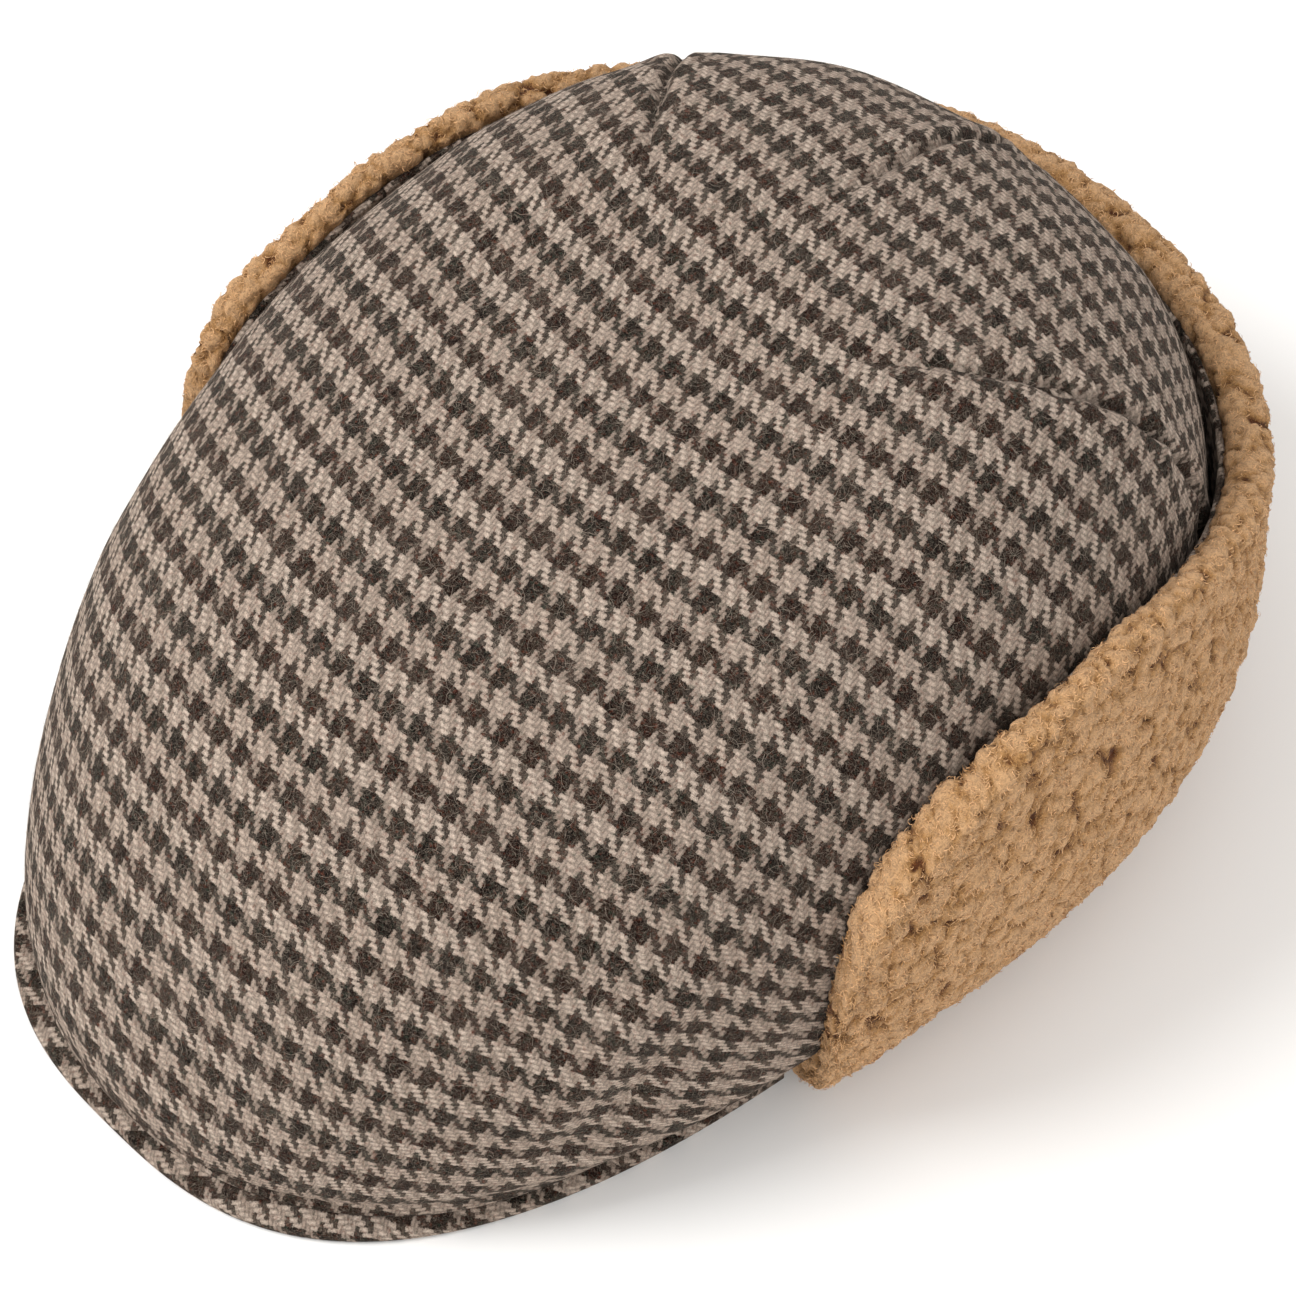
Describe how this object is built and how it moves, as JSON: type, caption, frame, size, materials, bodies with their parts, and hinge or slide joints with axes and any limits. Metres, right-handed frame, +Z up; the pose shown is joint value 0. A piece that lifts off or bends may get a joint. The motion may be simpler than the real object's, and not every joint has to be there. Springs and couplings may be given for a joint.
{
  "type": "flat cap",
  "caption": "Flat cap with a rounded tweed crown over a short stiff peak, and an ear flap turned up round the sides and back so that its curly pile faces out",
  "frame": {"origin": "middle of the underside of the cap's bounding box, on the surface that it rests on", "axes": "+Z up, -Y the way the peak points, +X the wearer's left"},
  "size_m": [0.203, 0.2636, 0.1224],
  "materials": {
    "crown_tweed": "brushed wool tweed in a houndstooth check",
    "peak_tweed": "the same tweed drawn tight over a stiff peak",
    "flap_tweed": "the same tweed on the flap's back",
    "curly_pile": "matt curly pile"
  },
  "bodies": {
    "root": {"crown": "crown_tweed", "peak": "peak_tweed", "flap_cloth": "flap_tweed", "flap_pile": "curly_pile"}
  },
  "joints": []
}
